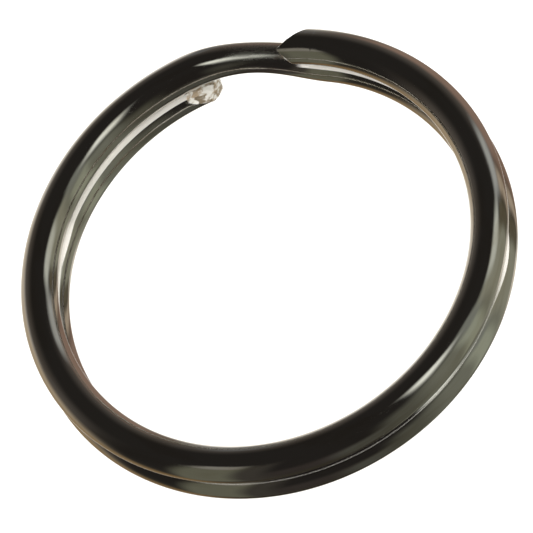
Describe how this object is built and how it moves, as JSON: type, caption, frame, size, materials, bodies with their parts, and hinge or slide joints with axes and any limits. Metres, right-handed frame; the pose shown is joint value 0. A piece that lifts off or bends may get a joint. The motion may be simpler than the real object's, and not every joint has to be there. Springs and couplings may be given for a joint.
{
  "type": "split key ring",
  "caption": "Double-coil split key ring of round-edged plated spring wire, with a short crossover and two ends that spring apart to let a key in.",
  "frame": {"origin": "centre of the ring, midway between the two turns", "axes": "+Z along the ring's axis, towards the upper turn; the crossover is in the middle of the -Y side; the wire climbs anticlockwise seen from +Z"},
  "size_m": [0.025, 0.025, 0.0034],
  "materials": {
    "plated_wire": "bright nickel plate over hardened spring steel, polished, faint drawing lines along the wire"
  },
  "bodies": {
    "coil_core": {"crossover": "plated_wire", "upper_fixed_near": "plated_wire", "upper_fixed_far": "plated_wire", "lower_fixed_near": "plated_wire", "lower_fixed_far": "plated_wire"},
    "upper_free_end": {"upper_free_far": "plated_wire", "upper_free_near": "plated_wire", "upper_nose": "plated_wire"},
    "lower_free_end": {"lower_free_far": "plated_wire", "lower_free_near": "plated_wire", "lower_nose": "plated_wire"}
  },
  "joints": [
    {"name": "upper_end_lift", "type": "hinge", "parent": "coil_core", "child": "upper_free_end", "pos_m": [0, 0.0125, 0], "axis": [-1, 0, 0], "range_deg": [0, 7.2], "stiffness_Nm_per_rad": 2.3, "springref_deg": -0.57},
    {"name": "lower_end_lift", "type": "hinge", "parent": "coil_core", "child": "lower_free_end", "pos_m": [0, 0.0125, 0], "axis": [1, 0, 0], "range_deg": [0, 7.2], "stiffness_Nm_per_rad": 2.3, "springref_deg": -0.57}
  ]
}
